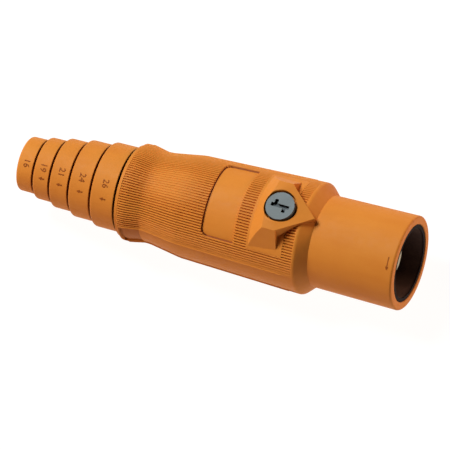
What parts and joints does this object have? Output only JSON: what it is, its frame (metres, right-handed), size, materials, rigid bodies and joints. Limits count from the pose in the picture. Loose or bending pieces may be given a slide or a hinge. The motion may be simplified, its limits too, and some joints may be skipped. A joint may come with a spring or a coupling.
{
  "type": "single pole cam connector plug",
  "caption": "Male inline power plug: ribbed elastomer sleeve with stepped strain relief, open shroud round a cam-grooved contact pin, and an arrow-shaped boss with a retaining screw.",
  "frame": {"origin": "on the plug's axis, where the contact pin leaves the floor of the shroud", "axes": "+X along the plug's axis towards the mouth, +Z towards the screw boss; the plug lies on its side with the boss up"},
  "size_m": [0.1988, 0.0544, 0.0588],
  "materials": {
    "orange_elastomer": "satin moulded elastomer",
    "black_plastic": "matt moulded",
    "contact_brass": "turned, pale plated brass",
    "grey_nylon": "satin moulded",
    "dark_steel": "blackened"
  },
  "bodies": {
    "root": {"insulating_sleeve": "orange_elastomer", "contact_carrier": "black_plastic", "male_contact": "contact_brass", "retaining_screw": "grey_nylon", "rear_set_screw": "dark_steel", "front_set_screw": "dark_steel"}
  },
  "joints": []
}
